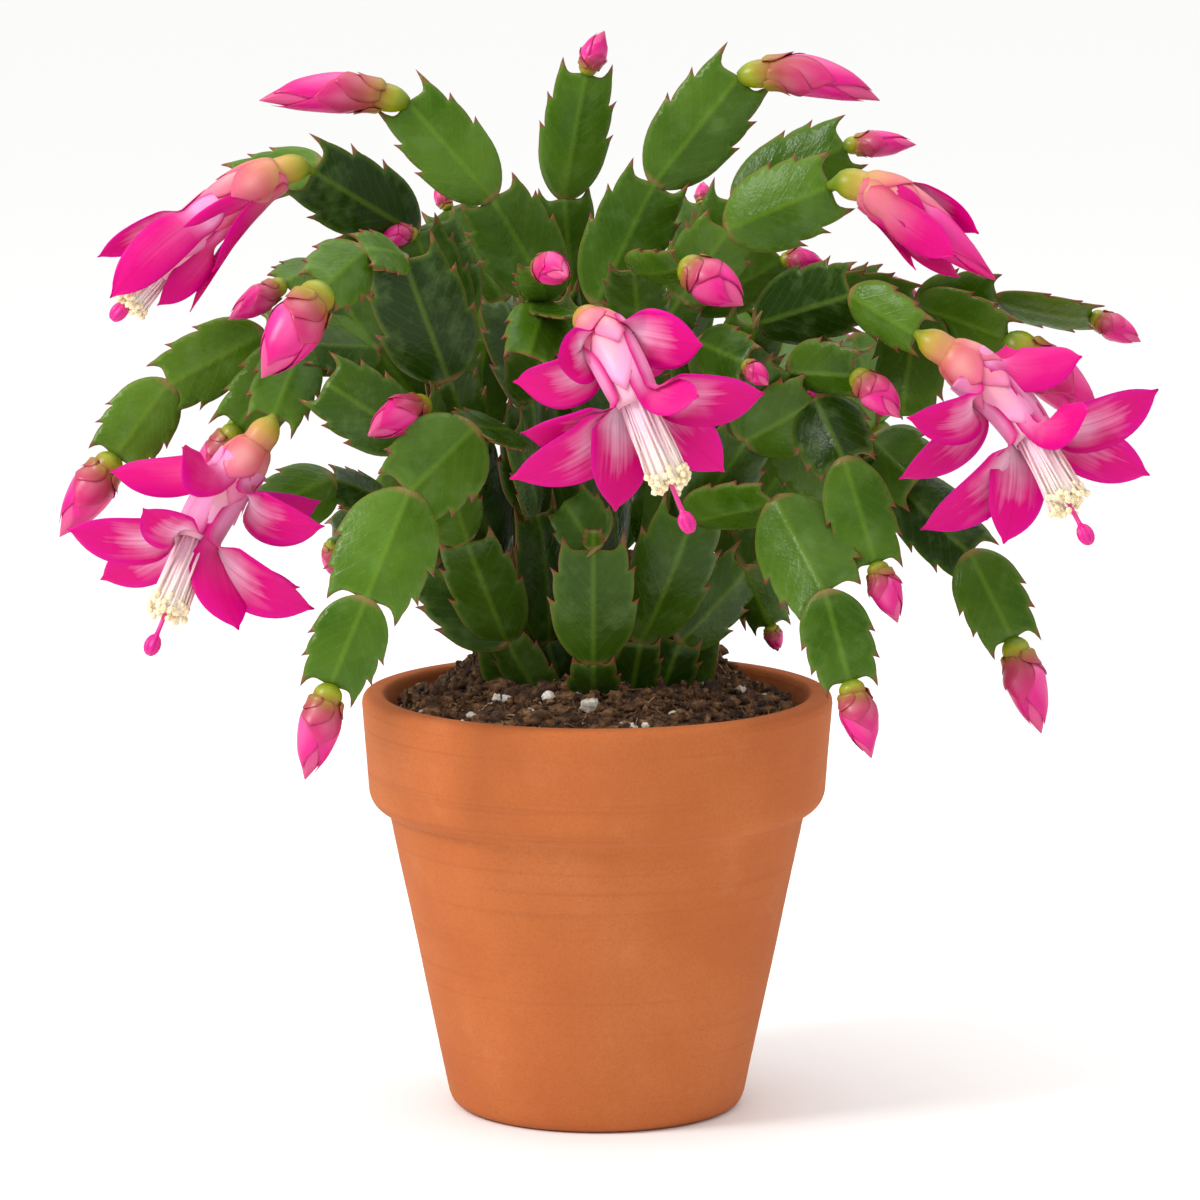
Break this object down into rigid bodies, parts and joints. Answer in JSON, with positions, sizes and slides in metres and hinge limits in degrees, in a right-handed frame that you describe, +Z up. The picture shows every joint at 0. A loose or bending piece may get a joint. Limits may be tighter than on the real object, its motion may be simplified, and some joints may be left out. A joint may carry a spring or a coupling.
{
  "type": "potted christmas cactus",
  "caption": "Christmas cactus of arching flat toothed stem segments with closed buds and tiered hanging pink blooms, rooted in soil in a tapered clay pot with a thick collar.",
  "frame": {"origin": "middle of the pot's foot, on the surface that the pot stands on", "axes": "+Z up along the pot's axis, -Y towards the front of the plant, +X to the right as seen from the front"},
  "size_m": [0.2939, 0.2226, 0.297],
  "materials": {
    "clay": "unglazed fired clay, matte with a fine grain",
    "potting_mix": "dark crumbly potting mix with white perlite",
    "leafy_stem": "waxy, leathery green with reddish-brown tooth tips",
    "bud": "yellow-green ovary, salmon sepals and a magenta tip, satin",
    "petal": "magenta petals, pale pink towards the middle, satin",
    "stamen": "pale pink-white filaments with cream anthers",
    "pistil": "pink style with a hot magenta stigma"
  },
  "bodies": {
    "root": {"pot": "clay", "soil": "potting_mix", "stem_back": "leafy_stem", "stem_back_left": "leafy_stem", "stem_centre": "leafy_stem", "stem_front": "leafy_stem", "stem_front_right": "leafy_stem", "stem_left_high": "leafy_stem", "stem_left_low": "leafy_stem", "stem_left_mid": "leafy_stem", "stem_left_side": "leafy_stem", "stem_right_back": "leafy_stem", "stem_right_high": "leafy_stem", "stem_right_low": "leafy_stem", "stem_right_mid": "leafy_stem", "stem_top": "leafy_stem", "bud_01": "bud", "bud_02": "bud", "bud_03": "bud", "bud_04": "bud", "bud_05": "bud", "bud_06": "bud", "bud_07": "bud", "bud_08": "bud", "bud_09": "bud", "bud_10": "bud", "bud_11": "bud", "bud_12": "bud", "bud_13": "bud", "bud_14": "bud", "bud_15": "bud", "bud_16": "bud", "bud_17": "bud", "bud_18": "bud", "bud_19": "bud", "bud_20": "bud", "bud_21": "bud", "bud_22": "bud", "bud_23": "bud", "bud_24": "bud", "bloom_back_petals": "petal", "bloom_back_pistil": "pistil", "bloom_back_right_petals": "petal", "bloom_back_right_pistil": "pistil", "bloom_back_right_stamens": "stamen", "bloom_back_stamens": "stamen", "bloom_centre_petals": "petal", "bloom_centre_pistil": "pistil", "bloom_centre_stamens": "stamen", "bloom_half_open_petals": "petal", "bloom_half_open_pistil": "pistil", "bloom_half_open_stamens": "stamen", "bloom_left_petals": "petal", "bloom_left_pistil": "pistil", "bloom_left_stamens": "stamen", "bloom_opening_petals": "petal", "bloom_right_petals": "petal", "bloom_right_pistil": "pistil", "bloom_right_stamens": "stamen"}
  },
  "joints": []
}
